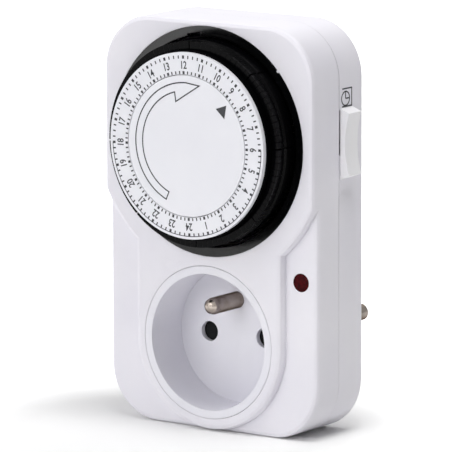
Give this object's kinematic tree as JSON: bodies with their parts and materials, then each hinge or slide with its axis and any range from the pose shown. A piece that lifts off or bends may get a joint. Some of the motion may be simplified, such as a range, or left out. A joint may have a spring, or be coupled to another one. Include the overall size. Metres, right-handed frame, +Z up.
{
  "type": "plug-in timer switch",
  "caption": "Mechanical plug-in timer switch with a rotary dial ringed by push-in tappets, an earthed socket in front, a round-pin plug behind and a slide knob.",
  "frame": {"origin": "on the axis of the plug and the socket, in the plane of the housing's back face, which meets the wall socket", "axes": "+Z up towards the dial, +Y back into the wall along the plug pins, +X to the right as seen from the front"},
  "size_m": [0.0741, 0.0739, 0.116],
  "materials": {
    "front_cover": "satin white moulding",
    "rear_cover": "satin white moulding",
    "socket_well": "satin white moulding",
    "mode_knob": "satin white moulding",
    "number_ring": "white with dark grey print",
    "centre_disc": "white with a dark grey arrow outline and triangle",
    "dial_bezel": "gloss black",
    "tappet_drum": "gloss black",
    "tappets": "gloss black",
    "contact_nickel": "nickel plated",
    "contact_brass": "bare strip",
    "spring_steel": "drawn wire",
    "inner_plastic": "dark grey moulding",
    "movement_plate": "mid grey moulding",
    "gear_plastic": "natural white moulding",
    "shutter": "light grey moulding",
    "lamp_lens": "clear dark red moulding",
    "neon_glass": "clear tube"
  },
  "bodies": {
    "housing": {"front_cover": "front_cover", "rear_cover": "rear_cover", "socket_well": "socket_well", "earth_pin": "contact_nickel", "plug_pins": "contact_nickel", "plug_side_contacts": "contact_nickel", "earth_strap": "contact_brass", "contact_holder": "inner_plastic", "live_contact": "contact_brass", "neutral_contact": "contact_brass", "live_feed": "contact_brass", "shutter_spring": "spring_steel", "dial_bezel": "dial_bezel", "dial_spindle": "inner_plastic", "centre_disc": "centre_disc", "motor_unit": "inner_plastic", "movement_plate": "movement_plate", "switch_body": "inner_plastic", "lamp_lens": "lamp_lens", "neon_lamp": "neon_glass"},
    "dial": {"tappet_drum": "tappet_drum", "number_ring": "number_ring"},
    "pinion": {"drive_pinion": "gear_plastic"},
    "lever": {"trip_lever": "gear_plastic"},
    "plunger": {"switch_plunger": "gear_plastic"},
    "knob": {"mode_knob": "mode_knob"},
    "shutter_plate": {"shutter": "shutter"},
    "tappets_hour_01": {"tappets_hour_01": "tappets"},
    "tappets_hour_02": {"tappets_hour_02": "tappets"},
    "tappets_hour_03": {"tappets_hour_03": "tappets"},
    "tappets_hour_04": {"tappets_hour_04": "tappets"},
    "tappets_hour_05": {"tappets_hour_05": "tappets"},
    "tappets_hour_06": {"tappets_hour_06": "tappets"},
    "tappets_hour_07": {"tappets_hour_07": "tappets"},
    "tappets_hour_08": {"tappets_hour_08": "tappets"},
    "tappets_hour_09": {"tappets_hour_09": "tappets"},
    "tappets_hour_10": {"tappets_hour_10": "tappets"},
    "tappets_hour_11": {"tappets_hour_11": "tappets"},
    "tappets_hour_12": {"tappets_hour_12": "tappets"},
    "tappets_hour_13": {"tappets_hour_13": "tappets"},
    "tappets_hour_14": {"tappets_hour_14": "tappets"},
    "tappets_hour_15": {"tappets_hour_15": "tappets"},
    "tappets_hour_16": {"tappets_hour_16": "tappets"},
    "tappets_hour_17": {"tappets_hour_17": "tappets"},
    "tappets_hour_18": {"tappets_hour_18": "tappets"},
    "tappets_hour_19": {"tappets_hour_19": "tappets"},
    "tappets_hour_20": {"tappets_hour_20": "tappets"},
    "tappets_hour_21": {"tappets_hour_21": "tappets"},
    "tappets_hour_22": {"tappets_hour_22": "tappets"},
    "tappets_hour_23": {"tappets_hour_23": "tappets"},
    "tappets_hour_24": {"tappets_hour_24": "tappets"}
  },
  "joints": [
    {"name": "dial_spin", "type": "hinge", "parent": "housing", "child": "dial", "pos_m": [0, -0.026, 0.05685], "axis": [0, 1, 0], "continuous": true},
    {"name": "pinion_spin", "type": "hinge", "parent": "housing", "child": "pinion", "pos_m": [-0.01032, -0.0245, 0.04211], "axis": [0, 1, 0], "continuous": true},
    {"name": "tappets_hour_01_press", "type": "slide", "parent": "dial", "child": "tappets_hour_01", "axis": [0, 1, 0], "range_m": [0, 0.0025]},
    {"name": "tappets_hour_02_press", "type": "slide", "parent": "dial", "child": "tappets_hour_02", "axis": [0, 1, 0], "range_m": [0, 0.0025]},
    {"name": "tappets_hour_03_press", "type": "slide", "parent": "dial", "child": "tappets_hour_03", "axis": [0, 1, 0], "range_m": [0, 0.0025]},
    {"name": "tappets_hour_04_press", "type": "slide", "parent": "dial", "child": "tappets_hour_04", "axis": [0, 1, 0], "range_m": [0, 0.0025]},
    {"name": "tappets_hour_05_press", "type": "slide", "parent": "dial", "child": "tappets_hour_05", "axis": [0, 1, 0], "range_m": [0, 0.0025]},
    {"name": "tappets_hour_06_press", "type": "slide", "parent": "dial", "child": "tappets_hour_06", "axis": [0, 1, 0], "range_m": [0, 0.0025]},
    {"name": "tappets_hour_07_press", "type": "slide", "parent": "dial", "child": "tappets_hour_07", "axis": [0, 1, 0], "range_m": [0, 0.0025]},
    {"name": "tappets_hour_08_press", "type": "slide", "parent": "dial", "child": "tappets_hour_08", "axis": [0, 1, 0], "range_m": [0, 0.0025]},
    {"name": "tappets_hour_09_press", "type": "slide", "parent": "dial", "child": "tappets_hour_09", "axis": [0, 1, 0], "range_m": [0, 0.0025]},
    {"name": "tappets_hour_10_press", "type": "slide", "parent": "dial", "child": "tappets_hour_10", "axis": [0, 1, 0], "range_m": [0, 0.0025]},
    {"name": "tappets_hour_11_press", "type": "slide", "parent": "dial", "child": "tappets_hour_11", "axis": [0, 1, 0], "range_m": [0, 0.0025]},
    {"name": "tappets_hour_12_press", "type": "slide", "parent": "dial", "child": "tappets_hour_12", "axis": [0, 1, 0], "range_m": [0, 0.0025]},
    {"name": "tappets_hour_13_press", "type": "slide", "parent": "dial", "child": "tappets_hour_13", "axis": [0, 1, 0], "range_m": [0, 0.0025]},
    {"name": "tappets_hour_14_press", "type": "slide", "parent": "dial", "child": "tappets_hour_14", "axis": [0, 1, 0], "range_m": [0, 0.0025]},
    {"name": "tappets_hour_15_press", "type": "slide", "parent": "dial", "child": "tappets_hour_15", "axis": [0, 1, 0], "range_m": [0, 0.0025]},
    {"name": "tappets_hour_16_press", "type": "slide", "parent": "dial", "child": "tappets_hour_16", "axis": [0, 1, 0], "range_m": [0, 0.0025]},
    {"name": "tappets_hour_17_press", "type": "slide", "parent": "dial", "child": "tappets_hour_17", "axis": [0, 1, 0], "range_m": [0, 0.0025]},
    {"name": "tappets_hour_18_press", "type": "slide", "parent": "dial", "child": "tappets_hour_18", "axis": [0, 1, 0], "range_m": [0, 0.0025]},
    {"name": "tappets_hour_19_press", "type": "slide", "parent": "dial", "child": "tappets_hour_19", "axis": [0, 1, 0], "range_m": [0, 0.0025]},
    {"name": "tappets_hour_20_press", "type": "slide", "parent": "dial", "child": "tappets_hour_20", "axis": [0, 1, 0], "range_m": [0, 0.0025]},
    {"name": "tappets_hour_21_press", "type": "slide", "parent": "dial", "child": "tappets_hour_21", "axis": [0, 1, 0], "range_m": [0, 0.0025]},
    {"name": "tappets_hour_22_press", "type": "slide", "parent": "dial", "child": "tappets_hour_22", "axis": [0, 1, 0], "range_m": [0, 0.0025]},
    {"name": "tappets_hour_23_press", "type": "slide", "parent": "dial", "child": "tappets_hour_23", "axis": [0, 1, 0], "range_m": [0, 0.0025]},
    {"name": "tappets_hour_24_press", "type": "slide", "parent": "dial", "child": "tappets_hour_24", "axis": [0, 1, 0], "range_m": [0, 0.0025]},
    {"name": "lever_swing", "type": "hinge", "parent": "housing", "child": "lever", "pos_m": [0.0224, -0.012, 0.03675], "axis": [-1, 0, 0], "range_deg": [0, 3.9]},
    {"name": "plunger_press", "type": "slide", "parent": "housing", "child": "plunger", "axis": [0, 1, 0], "range_m": [0, 0.0011]},
    {"name": "knob_slide", "type": "slide", "parent": "housing", "child": "knob", "axis": [0, 0, -1], "range_m": [0, 0.0046]},
    {"name": "shutter_slide", "type": "slide", "parent": "housing", "child": "shutter_plate", "axis": [0, 0, -1], "range_m": [0, 0.0066], "stiffness_N_per_m": 60, "springref_m": -0.002, "deforming": ["shutter_spring"]}
  ],
  "couplings": [
    {"joint": "pinion_spin", "follows": "dial_spin", "ratio": 4},
    {"joint": "lever_swing", "follows": "tappets_hour_08_press", "rad_per_m": 25.862},
    {"joint": "plunger_press", "follows": "tappets_hour_08_press", "ratio": 0.3815}
  ]
}
